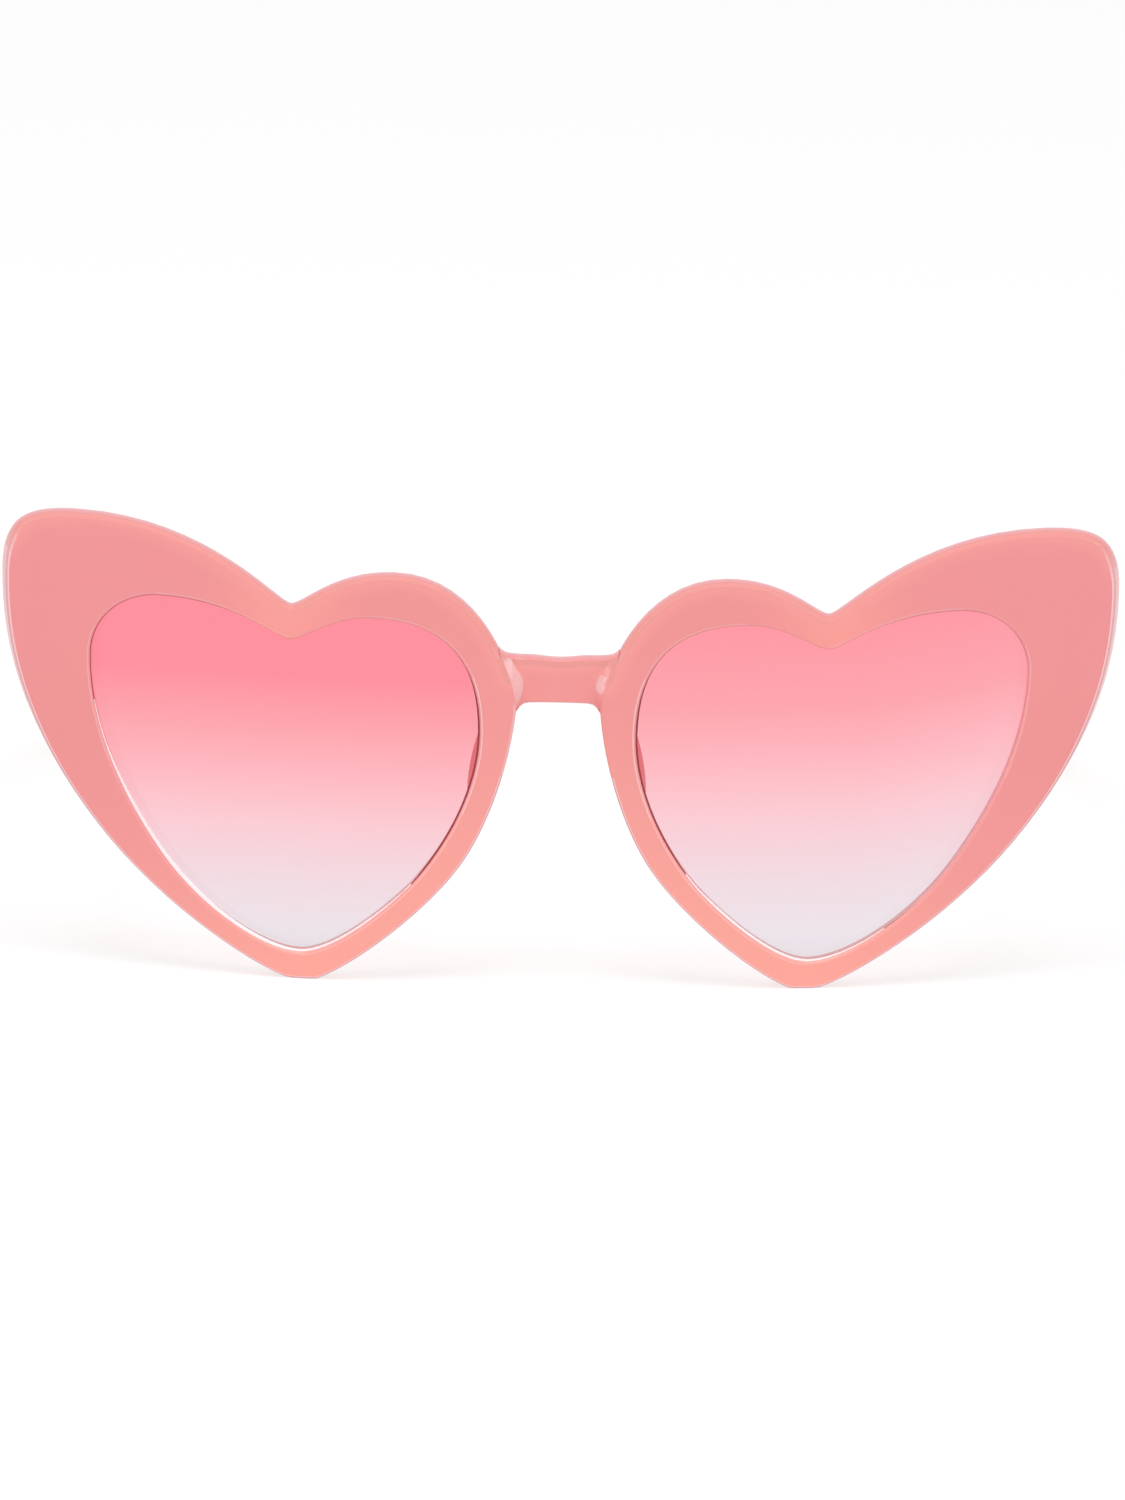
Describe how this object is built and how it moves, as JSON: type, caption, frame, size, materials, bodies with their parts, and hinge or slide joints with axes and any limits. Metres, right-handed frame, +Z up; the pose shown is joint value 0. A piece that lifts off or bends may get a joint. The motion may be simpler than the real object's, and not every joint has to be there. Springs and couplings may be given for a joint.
{
  "type": "sunglasses",
  "caption": "Heart-shaped sunglasses with flared wings, graded lenses and two folding temples on three-knuckle hinges.",
  "frame": {"origin": "on the ground, in the middle of the width and of the depth", "axes": "+Z up, the front faces -Y with the temples running back along +Y, +X is the wearer's left"},
  "size_m": [0.1484, 0.1526, 0.0611],
  "materials": {
    "frame_plastic": "opaque salmon pink, moulded and polished",
    "lens_plastic": "clear plastic tinted pink at the top, fading to nearly clear at the bottom",
    "hinge_steel": "plain stamped and rolled steel",
    "screw_steel": "plain turned steel with a slotted head"
  },
  "bodies": {
    "front": {"front_frame": "frame_plastic", "left_lens": "lens_plastic", "right_lens": "lens_plastic", "left_front_leaf": "hinge_steel", "right_front_leaf": "hinge_steel", "left_front_leaf_screws": "screw_steel", "right_front_leaf_screws": "screw_steel", "left_hinge_screw": "screw_steel", "right_hinge_screw": "screw_steel"},
    "left_arm": {"left_temple": "frame_plastic", "left_temple_leaf": "hinge_steel", "left_temple_leaf_screws": "screw_steel"},
    "right_arm": {"right_temple": "frame_plastic", "right_temple_leaf": "hinge_steel", "right_temple_leaf_screws": "screw_steel"}
  },
  "joints": [
    {"name": "left_fold", "type": "hinge", "parent": "front", "child": "left_arm", "pos_m": [0.06678, -0.05784, 0.05198], "axis": [0, 0, 1], "range_deg": [0, 91]},
    {"name": "right_fold", "type": "hinge", "parent": "front", "child": "right_arm", "pos_m": [-0.06678, -0.05784, 0.05198], "axis": [0, 0, -1], "range_deg": [0, 86]}
  ]
}
